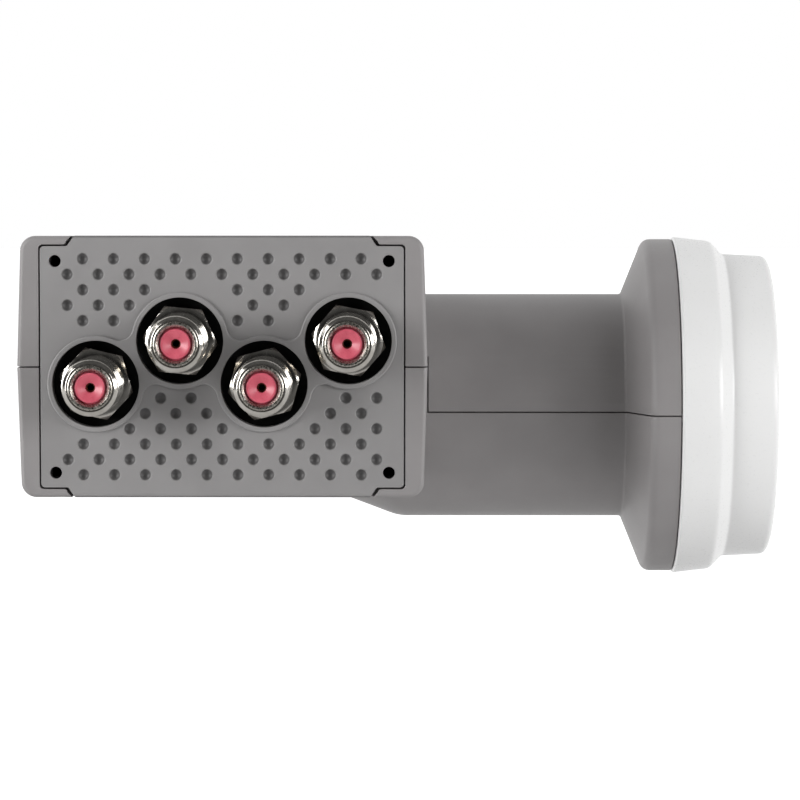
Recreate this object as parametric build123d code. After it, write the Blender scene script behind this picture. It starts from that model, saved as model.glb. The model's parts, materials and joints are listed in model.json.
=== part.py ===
from build123d import *
import math
import os

# Frame: X along the feed axis towards the cap, -Y the way the sockets face, Z up.
# The origin is on the feed axis, midway along the clamp neck. All sizes in millimetres.

# Clamp neck, flare and the fairing that sinks into the box floor
neck_radius = 20.0
neck_length = 34.9
flare_radius = 29.9
flare_angle = 68.0  # slope of the flare's back, from the axis
flare_land = 4.9  # straight rim behind the cap
flare_corner = 1.8
flare_root = 0.6
fairing_run = 5.1  # neck carried past the box wall before the fairing falls
fairing_angle = 20.5
fairing_blend = 9.0

# Box
box_height = 43.8
box_border = 4.0  # from the end plate's end to the box's side
box_lift = 9.5  # mid-height above the feed axis
side_lean = 0.7  # each side leans in from the seam to the top and floor
face_depth = 48.0  # front face ahead of the axis
back_depth = 24.0
back_draft = 1.4  # each wall leans in from front to back
front_corner = 2.5
back_corner = 9.0
back_fillet = 5.0
front_fillet = 0.8

# Shell walls and seam
wall = 2.0
seam_gap = 0.2
ledge_width = 1.6  # frame that the end plate rests on
rib_thickness = 2.0
rib_spacing = 20.0
post_radius = 2.6
post_inset = 6.0  # from the tray's front and back

# End plate
plate_thickness = 2.5
plate_gap = 0.25
plate_corner = 0.7
tab_reach = 1.7  # tabs from the plate's edge to the box's top and floor
tab_inset = 4.55  # tab's root from the plate's end
tab_slant = 1.1
tab_bend = 0.5
pad_rise = 0.6
pad_margin = 0.85  # pad round each socket hole
pad_edge = 0.25
pad_blend = 2.2
corner_hole_radius = 1.0
corner_hole_inset = 2.5
latch_width = 5.0
latch_thickness = 1.3
latch_nib = 0.8
latch_inset = 6.2  # latch's middle from the plate's edge
latch_fit = 0.15
latch_clear = 0.25  # latch's end ahead of the casting

# Dimples in the end plate
dimple_pitch = 2.58
dimple_border = 2.1  # no dimple's middle nearer than this to the plate's edge
dimple_clear = 0.2  # between a dimple and a pad or hole
dimple_skips = [(-1, 5)]  # lattice steps left plain
dimple_radius = 1.0
dimple_depth = 0.8

# F sockets
socket_count = 4
socket_pitch = 14.06
socket_stagger = 7.2  # height between the high and the low row
socket_rise = 0.8  # middle of the rows above the box's mid-height
socket_web = 1.3  # between two holes
hex_across = 11.0
hex_height = 4.0
hex_chamfer = 0.5
hex_turn = (46.5, 54.5, 14.5, 49.0)  # each hex stops where its thread ran home
barrel_radius = 4.75
barrel_length = 11.6
barrel_lip = 0.7
barrel_chamfer = 0.5
shank_radius = 4.3
socket_fit = 0.05
insulator_radius = 3.2
insulator_mouth = 2.6
insulator_sink = 0.5  # insulator's face below the barrel's end
entry_radius = 0.73  # hole for the cable's core
entry_dish = 0.5  # insulator's face falls this much to the hole
entry_depth = 1.6
contact_radius = 1.1
contact_bore = 0.55
contact_grip = 9.0
pin_radius = 0.5
pin_reach = 4.0  # pin on the board, past the casting's wall
seal_thickness = 2.0
seal_web = 0.8  # between two seals
seal_side = 0.162  # outer seal's edge to the ledge
seal_fit = 0.1

# Casting: tray, waveguide and horn
tray_side = 1.2  # outer socket's shank to the tray's side
tray_wall = 2.0
tray_socket_wall = 5.0
tray_back = 12.0  # behind the axis
tray_drop = 10.0  # lower walls under the web
tray_corner = 3.0
boss_radius = 2.6
guide_bore = 8.75
guide_wall = 1.75
guide_reach = 21.55  # closed end's inside face from the box's side
guide_end_wall = 2.0
throat_lead = 1.0  # straight bore past the front rib before it opens
horn_setback = 2.35  # horn's back from the flare's end
horn_floor = 2.2
horn_cap_gap = 0.3
horn_ring_wall = 1.2
horn_rings = (12.5, 18.0)  # inside radius of each inner ring
horn_ring_step = 1.6  # each inner ring is this much lower than the next
horn_fit = 0.3
horn_rim_wall = 3.2

# Cap and its seal
cap_gap = 0.2
cap_overhang = 0.4  # rim proud of the flare
cap_rim_length = 6.7
cap_rim_draft = 0.75
cap_rim_round = 0.5
cap_shoulder = 2.3
cap_shoulder_angle = 45.0
cap_barrel_draft = 0.4
cap_length = 17.1
cap_front_round = 1.4
cap_shoulder_round = 0.9
cap_wall = 1.5
cap_fit = 0.3
seal_cord_radius = 0.95
seal_squeeze = 0.05
seal_setback = 2.8  # seal's middle from the cap's open end

# Boards, covers and what stands on them
board_thickness = 0.8
board_gap = 0.3
gasket_thickness = 0.5
gasket_width = 1.4
cover_thickness = 2.0
cover_clear = 3.5  # upper cover under the shell's roof
screw_radius = 1.25
screw_head_radius = 2.3
screw_head_height = 1.6
screw_depth = 6.0
screw_fit = 0.15
lower_screw_setback = 9.0  # rear screws of the lower tray, clear of the bent probe
post_gap = 0.2

# Packages on the boards: width, depth and height
chip_pitch = 10.5
transistor_pitch = 5.0
receiver_size = (6.0, 6.0, 0.9)
switch_size = (7.0, 7.0, 0.9)
transistor_size = (1.8, 1.8, 0.8)
regulator_size = (3.5, 6.5, 1.6)
crystal_size = (3.2, 2.5, 0.8)

# Waveguide pins
probe_radius = 0.5
probe_reach = 4.6  # tip's distance from the axis
vertical_probe_place = 6.0  # ahead of the short
isolation_place = 9.7
horizontal_probe_place = 13.4
isolation_radius = 0.75
sleeve_radius = 1.5
sleeve_fit = 0.03
lead_setback = 2.2  # horizontal probe's riser from the tray wall
lead_side = 1.15  # and its middle from the tray's side wall

# Places worked out from the sizes above
socket_gap = math.hypot(socket_pitch, socket_stagger)
socket_hole_radius = (socket_gap - socket_web) / 2
seal_radius = (socket_gap - seal_web) / 2
plate_width = (socket_count - 1) * socket_pitch + 2 * (seal_radius + seal_side + ledge_width)
plate_height = box_height - 2 * tab_reach
ledge_depth = hex_height + seal_thickness - plate_thickness - latch_nib - latch_fit - latch_clear
box_width = plate_width + 2 * box_border  # along X, at the seam
box_right = -neck_length / 2
box_middle = box_right - box_width / 2
box_left = box_right - box_width
front = Plane(origin=(box_middle, -face_depth, box_lift), x_dir=(1, 0, 0), z_dir=(0, -1, 0))
socket_middle = box_lift + socket_rise
high_row = socket_middle + socket_stagger / 2
low_row = socket_middle - socket_stagger / 2
sockets = [
    ((i - (socket_count - 1) / 2) * socket_pitch, socket_rise + (i % 2 - 0.5) * socket_stagger)
    for i in range(socket_count)
]
web_top = high_row - pin_radius - board_thickness
web_bottom = low_row + pin_radius + board_thickness
guide_short = box_right - guide_reach
tray_left = box_middle + sockets[0][0] - shank_radius - tray_side
tray_right = guide_short + horizontal_probe_place + lead_side + tray_wall
tray_front = -face_depth + hex_height + seal_thickness
tray_inside = tray_front + tray_socket_wall
upper_cover_top = box_lift + box_height / 2 - wall - back_draft - cover_clear
tray_top = upper_cover_top - cover_thickness - gasket_thickness
tray_floor = web_bottom - tray_drop
guide_radius = guide_bore + guide_wall
lower_back = -guide_radius - board_gap
lower_cover_floor = tray_floor - gasket_thickness - cover_thickness
flare_slope = math.radians(flare_angle)
flare_lip = neck_length / 2 + (flare_radius - neck_radius) / math.tan(flare_slope)
flare_end = flare_lip + flare_land
cap_start = flare_end + cap_gap
cap_rim_radius = flare_radius + cap_overhang
horn_radius = flare_radius - wall - horn_fit
horn_back = flare_end - horn_setback
cap_step = cap_start + cap_rim_length - cap_wall / 2  # inside shoulder that meets the horn's rim
horn_front = cap_step - horn_cap_gap
throat_start = rib_spacing / 2 + rib_thickness / 2 + throat_lead
seal_place = cap_start + seal_setback
far = 4 * (box_width + neck_length)


def block(x, y, z):
    # Box between two values on each axis
    return Pos(sum(x) / 2, sum(y) / 2, sum(z) / 2) * Box(x[1] - x[0], y[1] - y[0], z[1] - z[0])


def spun(points):
    # Solid of revolution about the feed axis, from (x, radius) points
    return revolve(make_face(Plane.XY * Polyline(*points, close=True)), Axis.X)


def turned(points):
    # Solid of revolution about local Z, from (radius, height) points
    return revolve(make_face(Plane.XZ * Polyline(*points, close=True)), Axis.Z)


def nearest(shape, x, y):
    return shape.vertices().sort_by_distance((x, y, 0))[0]


def box_outline(inset, draft, corner):
    # Six-sided outline: the sides lean in from the seam at mid-height
    half_width = box_width / 2 - inset - draft
    half_height = box_height / 2 - inset - draft
    edge = half_width - side_lean
    points = [
        (-edge, half_height), (edge, half_height), (half_width, 0),
        (edge, -half_height), (-edge, -half_height), (-half_width, 0),
    ]
    face = make_face(Polyline(*points, close=True))
    corners = [v for v in face.vertices() if abs(v.Y) > half_height / 2]
    return fillet(corners, max(corner - inset, 0.4))


def box_form(inset):
    # Box drawn back from its face, with corners that grow rounder to the rear
    length = face_depth + back_depth - inset
    rear = front.offset(-length)
    near = front * box_outline(inset, 0, front_corner)
    form = loft([near, rear * box_outline(inset, back_draft, back_corner)])
    return fillet(form.faces().sort_by(Axis.Y)[-1].edges(), back_fillet - inset)


def spine_form(inset, mouth):
    # Fairing, neck and flare as one turned form, drawn in by the inset
    fall = math.radians(fairing_angle)
    neck = neck_radius - inset
    flare = flare_radius - inset
    start = box_right - fairing_run + inset * math.tan(fall / 2)
    tail_radius = box_height / 2 - box_lift - wall - inset
    tail = start - (neck - tail_radius) / math.tan(fall)
    root = neck_length / 2 + inset * math.tan(flare_slope / 2)
    lip = flare_lip + inset * math.tan(flare_slope / 2)
    points = [
        (tail, 0), (tail, tail_radius), (start, neck), (root, neck),
        (lip, flare), (mouth, flare), (mouth, 0),
    ]
    profile = make_face(Polyline(*points, close=True))
    profile = fillet(nearest(profile, start, neck), fairing_blend)
    profile = fillet(nearest(profile, lip, flare), max(flare_corner - inset, 0.3))
    profile = fillet(nearest(profile, root, neck), flare_root)
    return revolve(profile, Axis.X)


def plate_outline(grow, reach):
    # End plate: rectangle with a slant-sided tab that reaches the box's top and floor
    width = plate_width / 2 + grow
    height = plate_height / 2 + grow
    root = width - tab_inset
    tip = root - tab_slant
    side = [(-width, height), (-root, height), (-tip, reach), (tip, reach), (root, height), (width, height)]
    points = side + [(-x, -y) for x, y in side]
    face = make_face(Polyline(*points, close=True))
    face = fillet([v for v in face.vertices() if abs(v.X) > width - 0.01], plate_corner)
    return fillet([v for v in face.vertices() if root - 0.01 < abs(v.X) < root + 0.01], tab_bend)


def pad_outline():
    # Circles round the socket holes, run together with blended hollows
    radius = socket_hole_radius + pad_margin
    pad = Sketch() + [Pos(x, y) * Circle(radius) for x, y in sockets]
    hollows = [
        v for v in pad.vertices()
        if sum(abs(math.hypot(v.X - x, v.Y - y) - radius) < 0.001 for x, y in sockets) > 1
    ]
    return fillet(hollows, pad_blend) if hollows else pad


def dimple_places():
    # Diagonal lattice centred on the plate, left out round the sockets and the corner holes
    columns = int((plate_width / 2 - dimple_border) / dimple_pitch)
    rows = int((plate_height / 2 - dimple_border) / dimple_pitch)
    steps = [
        (i * dimple_pitch, k * dimple_pitch)
        for k in range(-rows, rows + 1)
        for i in range(-columns, columns + 1)
        if (i + k) % 2 == 0 and (i, k) not in dimple_skips
    ]
    edge = dimple_radius + dimple_clear
    kept_off = [(u, v, socket_hole_radius + pad_margin + edge) for u, v in sockets]
    kept_off += [(u, v, corner_hole_radius + edge) for u, v in corner_places()]
    return [(x, y) for x, y in steps if all(math.hypot(x - u, y - v) >= r for u, v, r in kept_off)]


def corner_places():
    x = plate_width / 2 - corner_hole_inset
    y = plate_height / 2 - corner_hole_inset
    return [(i * x, k * y) for i in (-1, 1) for k in (-1, 1)]


def post_places():
    # Where the shells bear on the tray's covers, over the upper and the lower tray
    x = (box_middle - socket_pitch, box_middle + socket_pitch)
    upper = [(u, v) for u in x for v in (tray_front + post_inset, tray_back - post_inset)]
    lower = [(u, v) for u in x for v in (tray_front + post_inset, lower_back - post_inset)]
    return upper, lower


def shells():
    # Outer form less its hollow, with ribs and posts, parted along the stepped seam
    box = box_form(0)
    box = fillet(box.faces().sort_by(Axis.Y)[0].edges(), front_fillet)
    outer = box + spine_form(0, flare_end)
    ledge_back = -face_depth + plate_thickness + ledge_depth
    hollow = box_form(wall) & block((-far, far), (ledge_back, far), (-far, far))
    hollow += spine_form(wall, flare_end + wall)
    seat = extrude(front * plate_outline(plate_gap, box_height), amount=-plate_thickness)
    window = Rectangle(plate_width - 2 * ledge_width, plate_height - 2 * ledge_width)
    body = outer - hollow - seat - extrude(front.offset(-plate_thickness) * window, amount=-ledge_depth)
    ring = Circle(neck_radius - wall / 2) - Circle(guide_radius + socket_fit)
    for x in (-rib_spacing / 2, rib_spacing / 2):
        body += extrude(Plane.YZ.offset(x) * ring, amount=rib_thickness / 2, both=True)
    upper, lower = post_places()
    tall = Cylinder(post_radius, box_height, align=(Align.CENTER, Align.CENTER, Align.MIN))
    deep = Cylinder(post_radius, box_height, align=(Align.CENTER, Align.CENTER, Align.MAX))
    stumps = [Pos(x, y, upper_cover_top + post_gap) * tall for x, y in upper]
    stumps += [Pos(x, y, lower_cover_floor - post_gap) * deep for x, y in lower]
    for stump in stumps:
        body += stump & outer
    half = seam_gap / 2
    step = box_right + half
    parts = []
    for side in (1, -1):
        off = side * half
        seam = [(-far, box_lift + off), (step + off, box_lift + off), (step + off, off), (far, off)]
        outline = Polyline(*seam, (far, side * far), (-far, side * far), close=True)
        parts.append(body & extrude(Plane.XZ * make_face(outline), amount=far, both=True))
    return parts


def latches():
    # Snap legs behind the plate: each hook's nib grips the back of the shells' ledge
    start = -plate_thickness / 2
    grip = -plate_thickness - ledge_depth - latch_fit
    end = grip - latch_nib
    outside = plate_width / 2 - ledge_width - latch_fit
    inside = outside - latch_thickness
    hook = [
        (inside, start), (outside, start), (outside, grip),
        (outside + latch_nib, grip), (outside, end), (inside, end),
    ]
    leg = extrude(Plane.XZ * make_face(Polyline(*hook, close=True)), amount=latch_width / 2, both=True)
    height = plate_height / 2 - latch_inset
    right = [Pos(0, side * height) * leg for side in (-1, 1)]
    return right + [mirror(latch, Plane.YZ) for latch in right]


def connector_plate():
    # Dimpled plate with tabs, pad, socket holes, corner holes and four snap latches
    plate = extrude(front * plate_outline(0, box_height / 2), amount=-plate_thickness)
    face_edges = plate.faces().sort_by(Axis.Y)[0].edges().filter_by(Axis.X).sort_by(Axis.Z)
    plate = fillet([face_edges[0], face_edges[-1]], front_fillet)
    pad = extrude(front * pad_outline(), amount=pad_rise)
    plate += fillet(pad.faces().sort_by(Axis.Y)[0].edges(), pad_edge)
    plate += [front * latch for latch in latches()]
    bores = [Pos(x, y) * Circle(socket_hole_radius) for x, y in sockets]
    bores += [Pos(x, y) * Circle(corner_hole_radius) for x, y in corner_places()]
    plate -= extrude(front.offset(pad_rise) * (Sketch() + bores), amount=-pad_rise - plate_thickness)
    ball = (dimple_radius ** 2 + dimple_depth ** 2) / (2 * dimple_depth)
    dimples = [front * Pos(x, y, ball - dimple_depth) * Sphere(ball) for x, y in dimple_places()]
    return plate - dimples


def feed_cap():
    # Turned cap: straight rim, sloped shoulder, shallow barrel and a flat front
    rim_end = cap_start + cap_rim_length
    rim_radius = cap_rim_radius - cap_rim_draft
    shoulder_end = rim_end + cap_shoulder / math.tan(math.radians(cap_shoulder_angle))
    barrel = rim_radius - cap_shoulder
    front_end = cap_start + cap_length
    nose = barrel - cap_barrel_draft
    skirt = horn_radius + cap_fit
    inside = front_end - cap_wall
    points = [
        (cap_start, skirt), (cap_start, cap_rim_radius), (rim_end, rim_radius), (shoulder_end, barrel),
        (front_end, nose), (front_end, 0), (inside, 0), (inside, nose - cap_wall),
        (shoulder_end, barrel - cap_wall), (cap_step, skirt),
    ]
    profile = make_face(Polyline(*points, close=True))
    profile = fillet(nearest(profile, cap_start, cap_rim_radius), cap_rim_round)
    profile = fillet(nearest(profile, rim_end, rim_radius), cap_shoulder_round * 2)
    profile = fillet(nearest(profile, shoulder_end, barrel), cap_shoulder_round)
    profile = fillet(nearest(profile, front_end, nose), cap_front_round)
    return revolve(profile, Axis.X)


def cap_seal():
    ring = horn_radius + cap_fit - seal_squeeze - seal_cord_radius
    return revolve(Pos(seal_place, ring) * Circle(seal_cord_radius), Axis.X)


def horn_profile():
    # Back wall, outer rim with the seal's groove and inner rings, each lower towards the throat
    floor = horn_back + horn_floor
    groove = seal_cord_radius + seal_squeeze
    groove_floor = horn_radius + cap_fit - 2 * seal_cord_radius - 2 * seal_squeeze
    inside = horn_radius - horn_rim_wall
    rim = spun([(horn_back, guide_bore), (horn_back, horn_radius), (horn_front, horn_radius),
                (horn_front, inside), (floor, inside), (floor, guide_bore)])
    rim -= spun([(seal_place - groove, groove_floor), (seal_place - groove, flare_radius),
                 (seal_place + groove, flare_radius), (seal_place + groove, groove_floor)])
    for i, radius in enumerate(reversed(horn_rings)):
        top = horn_front - (i + 1) * horn_ring_step
        rim += spun([(horn_back, radius), (horn_back, radius + horn_ring_wall),
                     (top, radius + horn_ring_wall), (top, radius)])
    return rim


def chassis():
    # One casting: two-sided tray on a web, round waveguide along the axis and ringed horn
    x = (tray_left, tray_right)
    solid = block(x, (tray_front, tray_back), (web_bottom, tray_top))
    solid += block(x, (tray_front, 0), (tray_floor, web_bottom))
    solid = fillet(solid.edges().filter_by(Axis.Z), tray_corner)
    room_x = (tray_left + tray_wall, tray_right - tray_wall)
    upper_room = block(room_x, (tray_inside, tray_back - tray_wall), (web_top, tray_top))
    lower_room = block(room_x, (tray_inside, lower_back - tray_wall), (tray_floor, web_bottom))
    solid -= [upper_room, lower_room]
    for top, floor, places in screw_places():
        boss = Cylinder(boss_radius, top - floor)
        for u, v in places:
            if v > tray_inside:
                solid += Pos(u, v, (top + floor) / 2) * boss
    throat = horn_back + horn_floor
    guide_end = guide_short - guide_end_wall
    solid += spun([(guide_end, 0), (guide_end, guide_radius), (throat_start, guide_radius),
                   (throat, horn_rings[0] + horn_ring_wall), (throat, 0)])
    solid += horn_profile()
    solid -= spun([(guide_short, 0), (guide_short, guide_bore), (throat_start, guide_bore),
                   (throat, horn_rings[0]), (horn_front, horn_rings[0]), (horn_front, 0)])
    shanks = [Pos(u, v) * Circle(shank_radius + socket_fit) for u, v in sockets]
    solid -= extrude(front * (Sketch() + shanks), amount=-face_depth - tray_inside)
    solid -= vertical_bore(sleeve_radius + sleeve_fit, guide_short + vertical_probe_place)
    solid -= horizontal_bore(sleeve_radius + sleeve_fit)
    isolation = Cylinder(isolation_radius + sleeve_fit, 2 * guide_bore + guide_wall)
    solid -= Pos(guide_short + isolation_place, 0, 0) * isolation
    tapping = Cylinder(screw_radius + screw_fit, screw_depth)
    upper, lower = screw_places()
    solid -= [Pos(u, v, tray_top - screw_depth / 2) * tapping for u, v in upper[2]]
    solid -= [Pos(u, v, tray_floor + screw_depth / 2) * tapping for u, v in lower[2]]
    return solid


def vertical_bore(radius, x):
    # Hole from the waveguide up through the web
    return Pos(x, 0, web_top / 2) * Cylinder(radius, web_top)


def horizontal_bore(radius):
    # Hole from the waveguide out through the lower tray's back wall
    length = tray_wall - lower_back
    x = guide_short + horizontal_probe_place
    return Pos(x, -length / 2, 0) * Rot(90, 0, 0) * Cylinder(radius, length)


def screw_places():
    # Screw columns as (top, bottom, places) for the upper and the lower tray.
    # The front ones stand in the thick wall, over each low socket and under each high one.
    x = (tray_left + boss_radius, tray_right - boss_radius)
    front_y = (tray_front + tray_inside) / 2
    over = [(box_middle + u, front_y) for u, v in sockets if v < socket_rise]
    under = [(box_middle + u, front_y) for u, v in sockets if v > socket_rise]
    upper = over + [(u, tray_back - boss_radius) for u in x]
    lower = under + [(u, lower_back - lower_screw_setback) for u in x]
    return [(tray_top, web_top, upper), (web_bottom, tray_floor, lower)]


def tray_lid(y, z_gasket, z_cover, places):
    # Gasket ring and cover plate of one tray, both holed for the screws
    width = tray_right - tray_left
    depth = y[1] - y[0]
    plan = Plane.XY.offset(z_gasket) * Pos((tray_left + tray_right) / 2, sum(y) / 2)
    outline = RectangleRounded(width, depth, tray_corner)
    holes = [Pos(u, v, 0) * Cylinder(screw_radius + screw_fit, far) for u, v in places]
    window = Rectangle(width - 2 * gasket_width, depth - 2 * gasket_width)
    gasket = extrude(plan * (outline - window), amount=gasket_thickness)
    bounds = extrude(plan * outline, amount=gasket_thickness)
    for u, v in places:
        gasket += Pos(u, v, z_gasket) * Cylinder(boss_radius, 2 * gasket_thickness) & bounds
    cover = extrude(Pos(0, 0, z_cover - z_gasket) * plan * outline, amount=cover_thickness)
    return gasket - holes, cover - holes


def screws(places, face, toward):
    # Pan-headed screws through a cover, driven along Z
    length = screw_depth - 1
    grip = gasket_thickness + cover_thickness
    shaft = Cylinder(screw_radius, grip + length, align=(Align.CENTER, Align.CENTER, Align.MAX))
    head = Cylinder(screw_head_radius, screw_head_height, align=(Align.CENTER, Align.CENTER, Align.MIN))
    head = chamfer(head.faces().sort_by(Axis.Z)[-1].edges(), screw_head_height / 3)
    head -= Pos(0, 0, screw_head_height) * Box(2 * screw_radius, 0.5, screw_head_height)
    screw = head + shaft
    turn = Rot(0, 0, 0) if toward > 0 else Rot(180, 0, 0)
    return Compound([Pos(u, v, face) * turn * screw for u, v in places])


def socket_pieces(index):
    # Body, insulator, contact and seal of one F socket, drawn along its own axis
    u, v = sockets[index]
    place = front * Pos(u, v)
    rear = -face_depth - tray_inside
    under = -hex_height
    tip = barrel_length
    face = tip - insulator_sink
    hexagon = RegularPolygon(hex_across / 2, 6, major_radius=False, rotation=hex_turn[index])
    across = hex_across / math.sqrt(3)
    nut = extrude(hexagon - Circle(insulator_radius), amount=-hex_height)
    nut &= turned([(0, under), (across, under), (across, -hex_chamfer), (hex_across / 2, 0), (0, 0)])
    body = nut + turned([
        (insulator_radius, rear), (shank_radius, rear), (shank_radius, under / 2), (barrel_radius, under / 2),
        (barrel_radius, tip - barrel_chamfer), (barrel_radius - barrel_chamfer, tip),
        (insulator_mouth, tip), (insulator_mouth, tip - barrel_lip), (insulator_radius, tip - barrel_lip),
    ])
    inner = insulator_radius - socket_fit
    mouth = insulator_mouth - socket_fit
    shoulder = tip - barrel_lip - socket_fit
    entry_floor = face - entry_depth
    insulator = turned([
        (contact_radius, rear), (inner, rear), (inner, shoulder), (mouth, shoulder), (mouth, face),
        (entry_radius, face - entry_dish), (entry_radius, entry_floor), (contact_radius, entry_floor),
    ])
    tube = contact_radius - socket_fit
    top = entry_floor - socket_fit
    floor = top - contact_grip
    pin_end = rear - pin_reach
    contact = turned([
        (0, pin_end), (pin_radius, pin_end), (pin_radius, rear), (tube, rear),
        (tube, top), (contact_bore, top), (contact_bore, floor), (0, floor),
    ])
    ring = Circle(seal_radius) - Circle(shank_radius + seal_fit)
    seal = extrude(Plane.XY.offset(under) * ring, amount=-seal_thickness)
    return [place * piece for piece in (body, insulator, contact, seal)]


def boards():
    x = (tray_left + tray_wall + board_gap, tray_right - tray_wall - board_gap)
    near = tray_inside + board_gap
    upper = block(x, (near, tray_back - tray_wall - board_gap), (web_top, web_top + board_thickness))
    lower = block(x, (near, lower_back - tray_wall - board_gap), (web_bottom - board_thickness, web_bottom))
    notch = boss_radius + board_gap
    post = Cylinder(notch, far)
    upper_posts, lower_posts = [places for top, floor, places in screw_places()]
    upper -= [Pos(u, v) * post for u, v in upper_posts]
    lower -= [Pos(u, v) * post for u, v in lower_posts]
    upper -= Pos(guide_short + vertical_probe_place, 0) * Cylinder(probe_radius + sleeve_fit, far)
    return upper, lower


def probes():
    # Straight probe under the upper board, bent probe from the lower board, and the pin between them
    board_top = web_top + board_thickness
    x = guide_short + vertical_probe_place
    straight = Pos(x, 0, (board_top + probe_reach) / 2) * Cylinder(probe_radius, board_top - probe_reach)
    upright = Pos(x, 0, (guide_bore + web_top) / 2) * (
        Cylinder(sleeve_radius, web_top - guide_bore) - Cylinder(probe_radius + sleeve_fit, far))
    x = guide_short + horizontal_probe_place
    wall_face = lower_back - tray_wall
    riser = wall_face - lead_setback
    top = web_bottom - board_thickness
    bend = 3 * probe_radius
    path = FilletPolyline((x, -probe_reach, 0), (x, riser, 0), (x, riser, top), radius=bend)
    lead = Plane(origin=(x, -probe_reach, 0), z_dir=(0, -1, 0)) * Circle(probe_radius)
    bent = sweep(lead, path=path)
    level = Pos(x, (wall_face - guide_bore) / 2, 0) * Rot(90, 0, 0) * (
        Cylinder(sleeve_radius, -guide_bore - wall_face) - Cylinder(probe_radius + sleeve_fit, far))
    pin = Pos(guide_short + isolation_place, 0, 0) * Cylinder(isolation_radius, 2 * guide_bore + guide_wall)
    return {"vertical_probe": straight, "vertical_sleeve": upright, "horizontal_probe": bent,
            "horizontal_sleeve": level, "isolation_pin": pin}


def chips():
    # Packages that stand on the boards: receivers, switch, low-noise stages, regulators and crystals
    top = web_top + board_thickness
    floor = web_bottom - board_thickness
    mid_x = (tray_left + tray_right) / 2
    mid_y = (tray_inside + lower_back) / 2
    probe_x = guide_short + vertical_probe_place

    def standing(x, y, size):
        return Pos(x, y, top + size[2] / 2) * Box(*size)

    def hanging(x, y, size):
        return Pos(x, y, floor - size[2] / 2) * Box(*size)

    return {
        "receiver_chip_upper": standing(mid_x, mid_y, receiver_size),
        "receiver_chip_lower": hanging(mid_x, mid_y, receiver_size),
        "switch_chip": standing(mid_x + chip_pitch, mid_y, switch_size),
        "low_noise_transistors": Compound(
            [standing(probe_x - i * transistor_pitch, 0, transistor_size) for i in (1, 2)]),
        "regulators": Compound([standing(mid_x + i * chip_pitch, mid_y, regulator_size) for i in (-2, 2)]),
        "reference_crystals": Compound(
            [stand(mid_x - chip_pitch, mid_y, crystal_size) for stand in (standing, hanging)]),
    }


def all_pieces():
    pieces = {}
    pieces["upper_shell"], pieces["lower_shell"] = shells()
    pieces["connector_plate"] = connector_plate()
    pieces["feed_cap"] = feed_cap()
    pieces["cap_seal"] = cap_seal()
    pieces["chassis"] = chassis()
    upper, lower = screw_places()
    pieces["upper_gasket"], pieces["upper_cover"] = tray_lid(
        (tray_front, tray_back), tray_top, tray_top + gasket_thickness, upper[2])
    pieces["lower_gasket"], pieces["lower_cover"] = tray_lid(
        (tray_front, lower_back), tray_floor - gasket_thickness, lower_cover_floor, lower[2])
    pieces["upper_cover_screws"] = screws(upper[2], upper_cover_top, 1)
    pieces["lower_cover_screws"] = screws(lower[2], lower_cover_floor, -1)
    pieces["upper_board"], pieces["lower_board"] = boards()
    pieces.update(probes())
    pieces.update(chips())
    for i in range(socket_count):
        names = ("socket_body", "socket_insulator", "socket_contact", "socket_seal")
        for name, piece in zip(names, socket_pieces(i)):
            pieces[f"{name}_{i + 1}"] = piece
    return pieces


os.makedirs("parts", exist_ok=True)
for name, piece in all_pieces().items():
    export_step(piece, f"parts/{name}.step")
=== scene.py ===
import json
import math

import bpy
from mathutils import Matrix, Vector

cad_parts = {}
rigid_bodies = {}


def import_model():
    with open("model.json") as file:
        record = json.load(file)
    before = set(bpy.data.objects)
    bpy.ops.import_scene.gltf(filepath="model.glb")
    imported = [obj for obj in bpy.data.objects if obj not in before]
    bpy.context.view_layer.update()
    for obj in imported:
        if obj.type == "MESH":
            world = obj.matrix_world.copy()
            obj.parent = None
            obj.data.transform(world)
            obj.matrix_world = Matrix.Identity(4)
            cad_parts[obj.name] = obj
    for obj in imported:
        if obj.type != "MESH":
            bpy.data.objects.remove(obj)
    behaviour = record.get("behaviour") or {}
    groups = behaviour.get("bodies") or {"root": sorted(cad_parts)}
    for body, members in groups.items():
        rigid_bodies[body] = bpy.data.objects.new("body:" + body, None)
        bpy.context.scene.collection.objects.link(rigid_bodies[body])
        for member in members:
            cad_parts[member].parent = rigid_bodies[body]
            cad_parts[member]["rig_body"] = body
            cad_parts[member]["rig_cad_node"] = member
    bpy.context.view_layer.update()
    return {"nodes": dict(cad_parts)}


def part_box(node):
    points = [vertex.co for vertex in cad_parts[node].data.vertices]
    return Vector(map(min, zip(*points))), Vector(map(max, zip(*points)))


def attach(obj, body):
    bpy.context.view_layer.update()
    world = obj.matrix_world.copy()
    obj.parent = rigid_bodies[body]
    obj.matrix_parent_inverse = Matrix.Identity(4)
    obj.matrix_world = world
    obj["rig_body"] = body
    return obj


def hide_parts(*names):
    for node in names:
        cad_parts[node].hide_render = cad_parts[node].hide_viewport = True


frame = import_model()
nodes = frame["nodes"]
mm = 0.001
drawnWeld = 0.001 * mm
spunWeld = 0.002 * mm
arcStep = math.radians(9)
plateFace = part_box("connector_plate")[0].y + 0.6 * mm  # the pad stands 0.6 mm proud of it
print("frame loaded:", len(nodes), "nodes")


# Small helpers for picking and finishing pieces

def pickOnly(piece):
    bpy.ops.object.select_all(action="DESELECT")
    piece.select_set(True)
    bpy.context.view_layer.objects.active = piece


def openMesh(piece):
    pickOnly(piece)
    bpy.ops.object.mode_set(mode="EDIT")
    bpy.ops.mesh.select_all(action="SELECT")


def closeMesh():
    bpy.ops.object.mode_set(mode="OBJECT")


def weldAndTurnOut(piece):
    openMesh(piece)
    bpy.ops.mesh.remove_doubles(threshold=spunWeld)
    bpy.ops.mesh.normals_make_consistent(inside=False)
    closeMesh()


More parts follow.
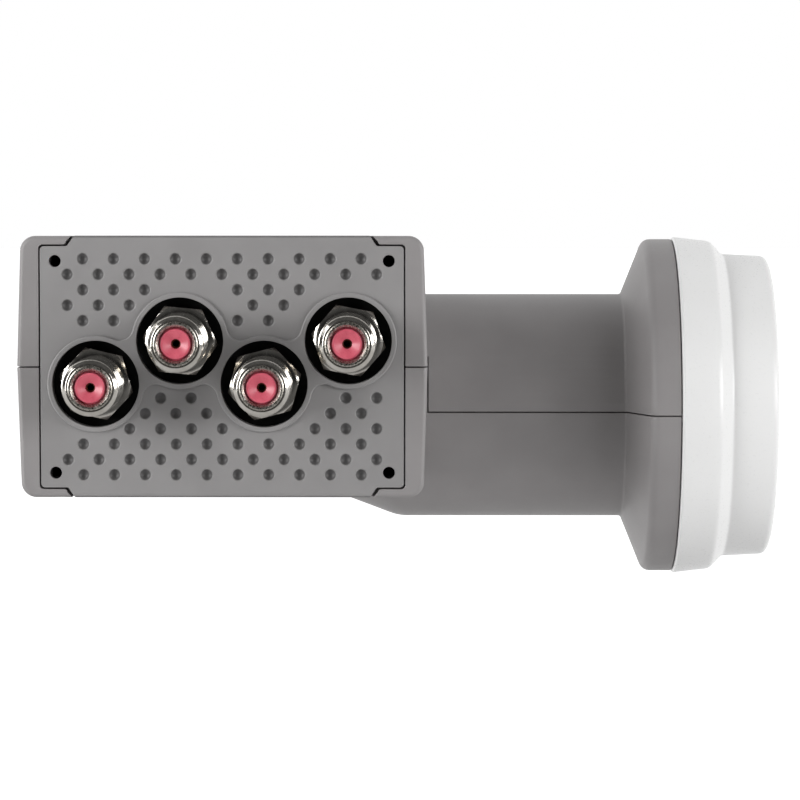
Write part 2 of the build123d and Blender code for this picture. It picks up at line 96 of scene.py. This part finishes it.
def applyModifier(piece, kind, **settings):
    pickOnly(piece)
    modifier = piece.modifiers.new(kind.title(), kind)
    for key, value in settings.items():
        setattr(modifier, key, value)
    bpy.ops.object.modifier_apply(modifier=modifier.name)


def smoothByAngle(piece, degrees):
    pickOnly(piece)
    bpy.ops.object.shade_smooth_by_angle(angle=math.radians(degrees))


def breakEdges(piece, isPicked, width, segments):
    # rounds off the edges that the test picks
    openMesh(piece)
    bpy.ops.mesh.select_mode(type="EDGE")
    bpy.ops.mesh.select_all(action="DESELECT")
    closeMesh()
    for edge in piece.data.edges:
        edge.select = isPicked(edge)
    bpy.ops.object.mode_set(mode="EDIT")
    bpy.ops.mesh.bevel(offset=width, segments=segments, affect="EDGES", miter_outer="ARC")
    bpy.ops.mesh.select_mode(type="VERT")
    closeMesh()


def settle(piece, material, slotName, *replaced):
    # finish, body, slot name (not used) and the solids that the piece stands for
    if len(piece.data.materials) < 2:  # a piece of two finishes brings its own
        piece.data.materials.clear()
        piece.data.materials.append(material)
    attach(piece, "root")
    if replaced:
        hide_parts(*replaced)


def drawLoop(name, points):
    # a vertex drawn round a closed outline by extruding it
    bpy.ops.object.select_all(action="DESELECT")
    bpy.ops.mesh.primitive_plane_add(size=mm, location=points[0])
    piece = bpy.context.object
    piece.name = name
    bpy.ops.object.transform_apply(location=True, rotation=True, scale=True)
    openMesh(piece)
    bpy.ops.mesh.merge(type="CENTER")
    for here, there in zip(points, points[1:] + points[:1]):
        bpy.ops.mesh.extrude_region_move(TRANSFORM_OT_translate={"value": there - here})
    bpy.ops.mesh.select_all(action="SELECT")
    bpy.ops.mesh.remove_doubles(threshold=drawnWeld)
    closeMesh()
    return piece


def lathe(name, outline, axis, steps):
    # outline of (radius, distance along the axis) in millimetres, spun about an axis through the origin
    axis = Vector(axis)
    outward = Vector((0, 0, 1))
    piece = drawLoop(name, [(outward * r + axis * a) * mm for r, a in outline])
    openMesh(piece)
    bpy.ops.mesh.spin(steps=steps, angle=math.tau, center=(0, 0, 0), axis=axis)
    closeMesh()
    weldAndTurnOut(piece)
    return piece


def rounded(points):
    # (radius, along, corner) triples to a plain outline, each corner drawn as an arc
    outline = []
    for i, (r, a, corner) in enumerate(points):
        here = Vector((r, a))
        if corner == 0:
            outline.append((r, a))
            continue
        back = (Vector(points[i - 1][:2]) - here).normalized()
        on = (Vector(points[(i + 1) % len(points)][:2]) - here).normalized()
        half = back.angle(on) / 2
        centre = here + (back + on).normalized() * (corner / math.sin(half))
        start = here + back * (corner / math.tan(half)) - centre
        sweep = start.angle_signed(here + on * (corner / math.tan(half)) - centre)
        pieces = max(3, round(abs(sweep) / arcStep))
        for k in range(pieces + 1):
            turn = -sweep * k / pieces
            x = start.x * math.cos(turn) - start.y * math.sin(turn)
            y = start.x * math.sin(turn) + start.y * math.cos(turn)
            outline.append((centre.x + x, centre.y + y))
    return outline


# Finishes

def newFinish(name):
    material = bpy.data.materials.new(name)
    material.use_nodes = True
    tree = material.node_tree
    place = tree.nodes.new("ShaderNodeTexCoord")
    return material, tree, tree.nodes["Principled BSDF"], place.outputs["Object"]


def noise(tree, place, scale, detail=3.0, roughness=0.5):
    node = tree.nodes.new("ShaderNodeTexNoise")
    node.inputs["Scale"].default_value = scale
    node.inputs["Detail"].default_value = detail
    node.inputs["Roughness"].default_value = roughness
    tree.links.new(place, node.inputs["Vector"])
    return node.outputs["Fac"]


def ramp(tree, source, low, high, start=0.3, end=0.7):
    node = tree.nodes.new("ShaderNodeMapRange")
    node.inputs["From Min"].default_value = start
    node.inputs["From Max"].default_value = end
    node.inputs["To Min"].default_value = low
    node.inputs["To Max"].default_value = high
    tree.links.new(source, node.inputs["Value"])
    return node.outputs["Result"]


def blendColours(tree, source, dark, light):
    node = tree.nodes.new("ShaderNodeMix")
    node.data_type = "RGBA"
    for key, colour in (("A", dark), ("B", light)):
        if isinstance(colour, tuple):
            node.inputs[key].default_value = (*colour, 1)
        else:
            tree.links.new(colour, node.inputs[key])
    tree.links.new(source, node.inputs["Factor"])
    return node.outputs["Result"]


def bump(tree, height, depth):
    node = tree.nodes.new("ShaderNodeBump")
    node.inputs["Distance"].default_value = depth
    node.inputs["Strength"].default_value = 1
    tree.links.new(height, node.inputs["Height"])
    return node.outputs["Normal"]


def mouldedPlastic(name, look):
    # cloudy colour, fine eroded grain, an uneven sheen and, where a face is given, painted shade below it
    material, tree, shader, place = newFinish(name)
    cloud = noise(tree, place, look["cloudScale"], 4)
    grain = noise(tree, place, look["grainScale"], 2, 0.6)
    mixed = blendColours(tree, ramp(tree, cloud, 0, 1), look["dark"], look["light"])
    if "face" in look:  # painted shade: darker below the moulded face, in the dimples, where shade falls
        split = tree.nodes.new("ShaderNodeSeparateXYZ")
        tree.links.new(place, split.inputs[0])
        start, end = (look["face"] + depth for depth in look["paintedShadeDepths"])
        below = ramp(tree, split.outputs["Y"], 0, look["paintedShade"], start, end)
        mixed = blendColours(tree, below, mixed, (0.0, 0.0, 0.0))
    tree.links.new(mixed, shader.inputs["Base Color"])
    tree.links.new(ramp(tree, grain, *look["roughness"]), shader.inputs["Roughness"])
    tree.links.new(bump(tree, grain, look["grainDepth"]), shader.inputs["Normal"])
    shader.inputs["Specular IOR Level"].default_value = look["specular"]
    return material


def metal(name, look):
    # plated or cast metal: tarnish clouds, fine pits and streaked sheen
    material, tree, shader, place = newFinish(name)
    cloud = noise(tree, place, look["cloudScale"], 4)
    pits = noise(tree, place, look["pitScale"], 3, 0.6)
    mixed = blendColours(tree, ramp(tree, cloud, 0, 1), look["dark"], look["light"])
    tree.links.new(mixed, shader.inputs["Base Color"])
    tree.links.new(ramp(tree, cloud, *look["roughness"]), shader.inputs["Roughness"])
    tree.links.new(bump(tree, pits, look["pitDepth"]), shader.inputs["Normal"])
    shader.inputs["Metallic"].default_value = 1
    return material


plasticLooks = {
    "housing": {"dark": (0.284, 0.271, 0.271), "light": (0.314, 0.300, 0.300), "cloudScale": 90,
                "grainScale": 5200, "grainDepth": 0.000012, "roughness": (0.40, 0.56), "specular": 0.5},
    "plate": {"dark": (0.289, 0.281, 0.281), "light": (0.316, 0.308, 0.308), "cloudScale": 120,
              "grainScale": 6500, "grainDepth": 0.000009, "roughness": (0.38, 0.52), "specular": 0.5,
              # the plate gets painted shade in its dimples, darker below its face
              "face": plateFace, "paintedShade": 0.6, "paintedShadeDepths": (0.12 * mm, 0.4 * mm)},
    "cap": {"dark": (0.90, 0.90, 0.895), "light": (0.93, 0.93, 0.925), "cloudScale": 60,
            "grainScale": 3000, "grainDepth": 0.000004, "roughness": (0.26, 0.36), "specular": 0.5},
    "insulator": {"dark": (0.60, 0.095, 0.14), "light": (0.70, 0.135, 0.185), "cloudScale": 700,
                  "grainScale": 4000, "grainDepth": 0.000006, "roughness": (0.26, 0.34), "specular": 0.55},
    "seal": {"dark": (0.008, 0.008, 0.008), "light": (0.016, 0.016, 0.016), "cloudScale": 400,
             "grainScale": 7000, "grainDepth": 0.00002, "roughness": (0.55, 0.75), "specular": 0.3},
    "board": {"dark": (0.012, 0.075, 0.035), "light": (0.02, 0.11, 0.05), "cloudScale": 300,
              "grainScale": 4000, "grainDepth": 0.000005, "roughness": (0.3, 0.45), "specular": 0.5},
    "sleeve": {"dark": (0.74, 0.73, 0.70), "light": (0.82, 0.81, 0.78), "cloudScale": 300,
               "grainScale": 4000, "grainDepth": 0.000005, "roughness": (0.4, 0.55), "specular": 0.4},
    "package": {"dark": (0.012, 0.012, 0.013), "light": (0.022, 0.022, 0.023), "cloudScale": 500,
                "grainScale": 9000, "grainDepth": 0.000008, "roughness": (0.5, 0.65), "specular": 0.4},
}
metalLooks = {
    "plating": {"dark": (0.60, 0.57, 0.52), "light": (0.76, 0.73, 0.68), "cloudScale": 700,
                "pitScale": 3600, "pitDepth": 0.000006, "roughness": (0.10, 0.20)},
    "crimp": {"dark": (0.20, 0.18, 0.15), "light": (0.72, 0.69, 0.63), "cloudScale": 3600,
              "pitScale": 3000, "pitDepth": 0.00006, "roughness": (0.22, 0.4)},
    # the contact is painted much darker than brass: painted shade deep in the socket's hole
    "contact": {"dark": (0.16, 0.11, 0.06), "light": (0.26, 0.19, 0.10), "cloudScale": 900,
                "pitScale": 5000, "pitDepth": 0.000004, "roughness": (0.35, 0.5)},
    "casting": {"dark": (0.50, 0.50, 0.50), "light": (0.60, 0.60, 0.60), "cloudScale": 160,
                "pitScale": 2600, "pitDepth": 0.00003, "roughness": (0.42, 0.6)},
    "steel": {"dark": (0.48, 0.48, 0.49), "light": (0.58, 0.58, 0.59), "cloudScale": 400,
              "pitScale": 4200, "pitDepth": 0.000006, "roughness": (0.25, 0.4)},
    "can": {"dark": (0.60, 0.58, 0.54), "light": (0.70, 0.68, 0.63), "cloudScale": 500,
            "pitScale": 5000, "pitDepth": 0.000004, "roughness": (0.22, 0.34)},
}
finishes = {name: mouldedPlastic(name + "Plastic", look) for name, look in plasticLooks.items()}
finishes.update({name: metal(name + "Metal", look) for name, look in metalLooks.items()})
print("finishes made:", len(finishes))


# Moulded pieces: a welded, smoothed copy of each solid, with its edges broken

def outerEdges(mesh, degrees):
    # sharp edges that stand out; the inside corners stay as they are
    sides = {}
    for face in mesh.polygons:
        corners = list(face.vertices)
        for pair in zip(corners, corners[1:] + corners[:1]):
            sides[pair] = face.normal
    outer = set()
    for (start, end), here in sides.items():
        there = sides.get((end, start))
        if there is None or here.angle(there, 0) < math.radians(degrees):
            continue
        if here.cross(there).dot(mesh.vertices[end].co - mesh.vertices[start].co) > 0:
            outer.add((min(start, end), max(start, end)))
    return outer


# the shells' cut-outs for the plate's tabs: where their sides stand, start to lean and end
recess = {"inset": 4.33 * mm, "start": 20.95 * mm, "lean": 0.9, "depth": 3.2 * mm, "slack": 0.12 * mm}


def leanRecess(piece):
    # leans the cut-outs' sides as the tabs' own sides lean
    low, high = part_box("connector_plate")
    middle = (low + high) / 2
    side = (high.x - low.x) / 2 - recess["inset"]
    for corner in piece.data.vertices:
        off = corner.co - middle
        rise = abs(off.z) - recess["start"]
        atSide = abs(abs(off.x) - side) < recess["slack"]
        if rise > 0 and atSide and corner.co.y < low.y + recess["depth"]:
            corner.co.x -= math.copysign(recess["lean"] * rise, off.x)


moulded = {"weld": 0.0015 * mm, "flat": math.radians(0.4), "sharp": 38, "smooth": 40,
           "edge": 0.12 * mm, "rounds": 2}


def mouldedCopy(nodeName, name):
    pickOnly(nodes[nodeName])
    bpy.ops.object.duplicate()
    piece = bpy.context.object
    piece.name = name
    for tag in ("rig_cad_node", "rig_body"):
        del piece[tag]
    bpy.ops.object.parent_clear(type="CLEAR_KEEP_TRANSFORM")
    openMesh(piece)
    bpy.ops.mesh.customdata_custom_splitnormals_clear()
    bpy.ops.mesh.remove_doubles(threshold=moulded["weld"])
    bpy.ops.mesh.dissolve_limited(angle_limit=moulded["flat"])
    closeMesh()
    if "shell" in nodeName:
        leanRecess(piece)
    outer = outerEdges(piece.data, moulded["sharp"])
    breakEdges(piece, lambda line: tuple(sorted(line.vertices)) in outer, moulded["edge"], moulded["rounds"])
    smoothByAngle(piece, moulded["smooth"])
    applyModifier(piece, "WEIGHTED_NORMAL", keep_sharp=True)
    return piece


mouldings = {
    "upperShell": {"node": "upper_shell", "finish": "housing"},
    "lowerShell": {"node": "lower_shell", "finish": "housing"},
    "socketPlate": {"node": "connector_plate", "finish": "plate"},
}
for name, moulding in mouldings.items():
    piece = mouldedCopy(moulding["node"], name)
    settle(piece, finishes[moulding["finish"]], "housing", moulding["node"])
    print("moulded:", name, len(piece.data.polygons), "faces")


# White feed cap, turned from its wall's outline

cap = {"rim": 30.3, "rimFront": 29.55, "barrel": 27.25, "nose": 26.85, "skirt": 27.9, "wall": 1.5,
       "rimLength": 6.7, "shoulder": 2.3, "length": 17.1, "step": 5.95, "steps": 160,
       "edgeRound": 0.2, "rimRound": 0.5, "shoulderRound": 1.8, "barrelRound": 0.9, "noseRound": 1.4,
       "hollowRound": 0.6, "stepRound": 0.4, "smooth": 30}


def feedCap():
    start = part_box("feed_cap")[0].x / mm
    shoulderEnd = cap["rimLength"] + cap["shoulder"]
    inside = cap["length"] - cap["wall"]
    corners = [
        (cap["skirt"], 0, cap["edgeRound"]), (cap["rim"], 0, cap["rimRound"]),
        (cap["rimFront"], cap["rimLength"], cap["shoulderRound"]),
        (cap["barrel"], shoulderEnd, cap["barrelRound"]),
        (cap["nose"], cap["length"], cap["noseRound"]), (0, cap["length"], 0), (0, inside, 0),
        (cap["nose"] - cap["wall"], inside, cap["hollowRound"]),
        (cap["barrel"] - cap["wall"], shoulderEnd, cap["stepRound"]),
        (cap["skirt"], cap["step"], cap["edgeRound"]),
    ]
    outline = [(r, start + a) for r, a in rounded(corners)]
    piece = lathe("feedCap", outline, (1, 0, 0), cap["steps"])
    smoothByAngle(piece, cap["smooth"])
    return piece


settle(feedCap(), finishes["cap"], "cap", "feed_cap")
print("cap turned")


# F sockets: one is modelled about the origin, facing -Y, then copied to each place and turned

socketAxis = (0, -1, 0)
socket = {"shank": 4.3, "collar": 4.55, "root": 4.26, "lip": 4.62, "lipEnd": 3.98, "crimp": 3.72,
          "crimpDepth": 0.8, "bore": 3.2, "mouth": 2.76, "reach": 11.6, "tail": 11.0,
          "marks": 4, "markDepth": 0.016, "steps": 96, "smooth": 32,
          "madeAt": 30, "stops": (46.5, 54.5, 14.5, 49.0)}  # where each hex came to rest, in degrees


def toolMarks(start, end, count, depth):
    # fine turning ridges along a straight part of a lathe outline
    start = Vector(start)
    end = Vector(end)
    along = (end - start) / count
    sunk = Vector((along.y, -along.x)).normalized() * depth
    marks = []
    for k in range(count):
        marks += [start + along * k, start + along * (k + 0.5) + sunk]
    return [(point.x, point.y, 0) for point in marks + [end]]


bar = {"across": 11.0, "depth": 4.0, "face": 4.6, "core": 3.9, "edge": 0.1 * mm, "rounds": 3,
       "crown": math.radians(48), "marks": 12, "markDepth": 0.018, "spare": 1}


def hexNut():
    # six-sided bar, cored for the barrel, its face and corners turned on a lathe
    corner = bar["across"] / math.sqrt(3)
    depth = bar["depth"]
    bpy.ops.object.select_all(action="DESELECT")
    bpy.ops.mesh.primitive_cylinder_add(vertices=6, radius=corner * mm, depth=depth * mm,
                                        location=(0, depth / 2 * mm, 0), rotation=(math.pi / 2, 0, 0))
    nut = bpy.context.object
    bpy.ops.object.transform_apply(location=True, rotation=True, scale=True)

    def isAlongBar(line):
        start, end = (nut.data.vertices[k].co for k in line.vertices)
        return abs(end.y - start.y) > depth / 2 * mm

    breakEdges(nut, isAlongBar, bar["edge"], bar["rounds"])
    around = corner + bar["spare"]
    back = -depth - bar["spare"]
    outline = [(bar["core"], back), (around, back), (around, -depth / 2)]
    radius = (corner - bar["face"]) / math.sin(bar["crown"])
    for k in range(bar["marks"], -1, -1):  # crowned face, with a ridge at every other step
        turn = bar["crown"] * k / bar["marks"]
        ridge = radius - bar["markDepth"] * (k % 2)
        outline.append((bar["face"] + ridge * math.sin(turn), ridge * math.cos(turn) - radius))
    outline.append((bar["core"], 0))
    crown = lathe("crown", outline, socketAxis, socket["steps"])
    applyModifier(nut, "BOOLEAN", operation="INTERSECT", object=crown, solver="EXACT")
    bpy.data.objects.remove(crown)
    return nut


def barrel():
    # from the tail's bore round the outside, over the rolled lip and back down the bore
    tip, tail = socket["reach"], socket["tail"]
    root, collar, lip = socket["root"], socket["collar"], socket["lip"]
    bore, mouth, crimp = socket["bore"], socket["mouth"], socket["crimp"]
    slopeStart, slopeEnd = (lip - 0.12, tip - 0.68), (socket["lipEnd"], tip - 0.22)
    outline = rounded([
        (bore, -tail, 0), (socket["shank"], -tail, 0.2), (socket["shank"], -1.0, 0),
        (collar, -1.0, 0), (collar, 0.15, 0.1), (root, 0.4, 0.1),
        (root, tip - 1.25, 0.1), (lip, tip - 1.0, 0.08), (lip, tip - 0.8, 0.1),
        *toolMarks(slopeStart, slopeEnd, socket["marks"], socket["markDepth"]),
        (crimp + 0.18, tip - 0.2, 0), (crimp + 0.14, tip - 0.45, 0), (crimp + 0.02, tip - 0.45, 0),
        (crimp - 0.02, tip - 0.14, 0.1), (crimp - 0.24, tip, 0.12), (bore, tip - 0.05, 0.1),
        (mouth + 0.08, tip - 0.45, 0.05), (mouth, tip - 0.7, 0), (mouth, tip - 1.2, 0), (bore, tip - 1.2, 0),
    ])
    return lathe("barrel", outline, socketAxis, socket["steps"])


thread = {"crest": 4.74, "sunk": 0.1, "flank": 0.34, "flat": 0.06, "start": 0.35,
          "pitch": 0.79, "turns": 13, "steps": 48}


def threadRidge():
    # one section of the ridge, wound up the barrel by a screw modifier and closed at both ends
    inner = socket["root"] - thread["sunk"]
    crest, flank, flat = thread["crest"], thread["flank"], thread["flat"]
    section = [(inner, -flank), (crest, -flat), (crest, flat), (inner, flank)]
    ridge = drawLoop("ridge", [Vector((0, -(a + thread["start"]) * mm, r * mm)) for r, a in section])
    applyModifier(ridge, "SCREW", axis="Y", angle=math.tau, screw_offset=-thread["pitch"] * mm,
                  iterations=thread["turns"], steps=thread["steps"], render_steps=thread["steps"])
    openMesh(ridge)
    bpy.ops.mesh.select_all(action="DESELECT")
    bpy.ops.mesh.select_non_manifold()
    bpy.ops.mesh.fill_holes(sides=8)
    closeMesh()
    weldAndTurnOut(ridge)
    return ridge


def socketBody():
    body = barrel()
    for other in (hexNut(), threadRidge()):
        applyModifier(body, "BOOLEAN", operation="UNION", object=other, solver="EXACT")
        bpy.data.objects.remove(other)
    smoothByAngle(body, socket["smooth"])
    body.data.materials.append(finishes["plating"])
    body.data.materials.append(finishes["crimp"])
    deepest = (socket["crimpDepth"] - socket["reach"]) * mm
    for face in body.data.polygons:
        across = math.hypot(face.center.x, face.center.z)
        if across < socket["crimp"] * mm and face.center.y < deepest:
            face.material_index = 1
    return body


insulator = {"flange": 3.15, "flangeBack": 1.25, "face": 2.5, "sunk": 0.45, "dish": 0.66, "entry": 0.82,
             "entryEnd": 0.78, "entryDepth": 1.7, "core": 1.12, "smooth": 40}


def socketInsulator():
    # dished face with a rounded edge, and the hole for the cable's core
    tail, front = socket["tail"], socket["reach"] - insulator["sunk"]
    flange, flangeEnd = insulator["flange"], socket["reach"] - insulator["flangeBack"]
    rim, bottom = insulator["face"], front - insulator["entryDepth"]
    outline = rounded([
        (insulator["core"], -tail, 0), (flange, -tail, 0.1), (flange, flangeEnd, 0.1), (rim, flangeEnd, 0),
        (rim, front, 0.14), (rim - 0.35, front - 0.02, 0.3),
        (insulator["entry"], front - insulator["dish"], 0.05),
        (insulator["entryEnd"], bottom, 0), (insulator["core"], bottom, 0),
    ])
    piece = lathe("insulator", outline, socketAxis, socket["steps"])
    smoothByAngle(piece, insulator["smooth"])
    return piece


seal = {"inner": 4.4, "outer": 7.49, "thickness": 2.0, "innerRound": 0.15, "outerRound": 0.3, "smooth": 40}


def socketSeal():
    # flat rubber washer under the hex
    front = -bar["depth"]
    back = front - seal["thickness"]
    outline = rounded([
        (seal["inner"], back, seal["innerRound"]), (seal["outer"], back, seal["outerRound"]),
        (seal["outer"], front, seal["outerRound"]), (seal["inner"], front, seal["innerRound"]),
    ])
    piece = lathe("seal", outline, socketAxis, socket["steps"])
    smoothByAngle(piece, seal["smooth"])
    return piece


socketKinds = {
    "socketBody": {"make": socketBody, "node": "socket_body", "finish": "plating"},
    "socketInsulator": {"make": socketInsulator, "node": "socket_insulator", "finish": "insulator"},
    "socketSeal": {"make": socketSeal, "node": "socket_seal", "finish": "seal"},
}
for kind, settings in socketKinds.items():
    pattern = settings["make"]()
    print("socket piece modelled:", kind, len(pattern.data.polygons), "faces")
    for i, stop in enumerate(socket["stops"]):
        node = f"{settings['node']}_{i + 1}"
        low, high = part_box(f"socket_seal_{i + 1}")
        pickOnly(pattern)
        bpy.ops.object.duplicate()
        piece = bpy.context.object
        piece.name = f"{kind}{i + 1}"
        piece.location = ((low.x + high.x) / 2, low.y - bar["depth"] * mm, (low.z + high.z) / 2)
        piece.rotation_euler = (0, -math.radians(stop - socket["madeAt"]), 0)
        bpy.ops.object.transform_apply(location=True, rotation=True, scale=True)
        settle(piece, finishes[settings["finish"]], settings["finish"], node)
    bpy.data.objects.remove(pattern)


# Solids that stay as they are: the inner pieces, by a word in their names; the first that fits counts
innerFinishes = {
    "contact": "contact", "probe": "contact", "seal": "seal", "gasket": "seal", "chassis": "casting",
    "cover": "casting", "pin": "steel", "board": "board", "sleeve": "sleeve", "chip": "package",
    "transistors": "package", "regulators": "package", "crystals": "can",
}
for name, node in nodes.items():
    if node.hide_render:
        continue
    word = next(word for word in innerFinishes if word in name)
    node.data.materials.clear()
    node.data.materials.append(finishes[innerFinishes[word]])
print("inner pieces finished")


# Floor, light and camera

def combine(tree, operation, first, second):
    node = tree.nodes.new("ShaderNodeMath")
    node.operation = operation
    node.use_clamp = True
    tree.links.new(first, node.inputs[0])
    tree.links.new(second, node.inputs[1])
    return node.outputs[0]


def mirroredIn(tree, share):
    # that share of what a mirror or a sheen looks at
    path = tree.nodes.new("ShaderNodeLightPath")
    return combine(tree, "MULTIPLY", path.outputs["Is Glossy Ray"], share)


def seenDirectly(tree, mirrored):
    # 1 for what the lens or clear plastic looks straight at, and that share of it in mirrors
    path = tree.nodes.new("ShaderNodeLightPath")
    seen = combine(tree, "ADD", path.outputs["Is Camera Ray"], path.outputs["Is Transmission Ray"])
    return combine(tree, "ADD", seen, mirroredIn(tree, mirrored))


# the room colour is painted on the floor in front and seen only in mirrors: a painted dark reflection
floorLook = {"size": 12, "height": -0.11, "dark": (0.64, 0.64, 0.64), "light": (0.68, 0.68, 0.68),
             "room": (0.03, 0.03, 0.03), "lift": 0.88, "cloudScale": 3.0, "roughness": 0.9,
             "sheet": (0, 1, 0, 0.3), "dim": (0.9, 0, -0.2, -0.13)}  # low, high, and where along Y


def floorFinish():
    # pale matt sheet, lifted to white where it is looked at, with the shadow kept; in mirrors its front part
    # is painted near black, a painted dark reflection
    material, tree, shader, place = newFinish("paleFloor")
    cloud = noise(tree, place, floorLook["cloudScale"])
    mixed = blendColours(tree, ramp(tree, cloud, 0, 1), floorLook["dark"], floorLook["light"])
    split = tree.nodes.new("ShaderNodeSeparateXYZ")
    tree.links.new(place, split.inputs[0])
    behind = ramp(tree, split.outputs["Y"], *floorLook["sheet"])
    # painted reflection: in mirrors the floor in front takes the room colour, near black, standing in for a
    # dark room
    dim = mirroredIn(tree, ramp(tree, split.outputs["Y"], *floorLook["dim"]))
    tree.links.new(blendColours(tree, dim, mixed, floorLook["room"]), shader.inputs["Base Color"])
    shader.inputs["Roughness"].default_value = floorLook["roughness"]
    shader.inputs["Emission Color"].default_value = (1, 1, 1, 1)
    lift = ramp(tree, seenDirectly(tree, behind), 0, floorLook["lift"], 0, 1)
    tree.links.new(lift, shader.inputs["Emission Strength"])
    return material


bpy.ops.object.select_all(action="DESELECT")
bpy.ops.mesh.primitive_plane_add(size=floorLook["size"], location=(0, 0, floorLook["height"]))
floor = bpy.context.object
floor.name = "studioFloor"
floor.data.materials.append(floorFinish())

# low, high, and where along Y or Z; the room is what is left in front
studio = {"sheet": (0, 1, 0, 0.9), "sheetSeen": (0, 1, 0, 0.25),
          "top": (0, 0.22, 0.2, 0.9), "topDim": (0, 0.15, 0.2, 0.9), "room": 0.02}


def studioWorld():
    # white sheet behind, faint light from above, dark room in front; the lens always sees white
    world = bpy.data.worlds.new("studio")
    bpy.context.scene.world = world
    world.use_nodes = True
    tree = world.node_tree
    light = tree.nodes["Background"]
    light.inputs["Color"].default_value = (1, 1, 1, 1)
    place = tree.nodes.new("ShaderNodeTexCoord")
    split = tree.nodes.new("ShaderNodeSeparateXYZ")
    tree.links.new(place.outputs["Generated"], split.inputs[0])
    behind = split.outputs["Y"]
    above = ramp(tree, split.outputs["Z"], *studio["top"])
    dim = mirroredIn(tree, ramp(tree, split.outputs["Z"], *studio["topDim"]))
    above = combine(tree, "SUBTRACT", above, dim)
    shine = combine(tree, "ADD", ramp(tree, behind, *studio["sheet"]), above)
    seen = seenDirectly(tree, ramp(tree, behind, *studio["sheetSeen"]))
    total = combine(tree, "ADD", shine, seen)
    tree.links.new(ramp(tree, total, studio["room"], 1, 0, 1), light.inputs["Strength"])


studioWorld()

lamps = {
    "leftLamp": {"place": (-0.990, -0.606, 0.125), "size": 0.5, "power": 7.1},
    "leftHighLamp": {"place": (-0.933, -0.445, 0.545), "size": 0.5, "power": 3.3},
    "rightHighLamp": {"place": (0.88, -0.78, 0.30), "size": 0.5, "power": 3.3},
    "rightLowLamp": {"place": (1.040, -0.420, 0.165), "size": 0.4, "power": 5.3},
}
for name, lamp in lamps.items():
    bpy.ops.object.light_add(type="AREA", location=lamp["place"])
    light = bpy.context.object
    light.name = name
    light.data.size = lamp["size"]
    light.data.energy = lamp["power"]
    light.rotation_euler = (-Vector(lamp["place"])).to_track_quat("-Z", "Y").to_euler()

view = {"place": (-0.01955, -0.6306, 0.0426), "aim": (-0.0223, 0, 0.00083), "lens": 157.3, "sensor": 36}
bpy.ops.object.camera_add(location=view["place"])
camera = bpy.context.object
camera.name = "camera"
camera.rotation_euler = (Vector(view["aim"]) - Vector(view["place"])).to_track_quat("-Z", "Y").to_euler()
camera.data.lens = view["lens"]
camera.data.sensor_width = view["sensor"]
bpy.context.scene.camera = camera
bpy.context.scene.view_settings.view_transform = "Standard"
print("studio set")
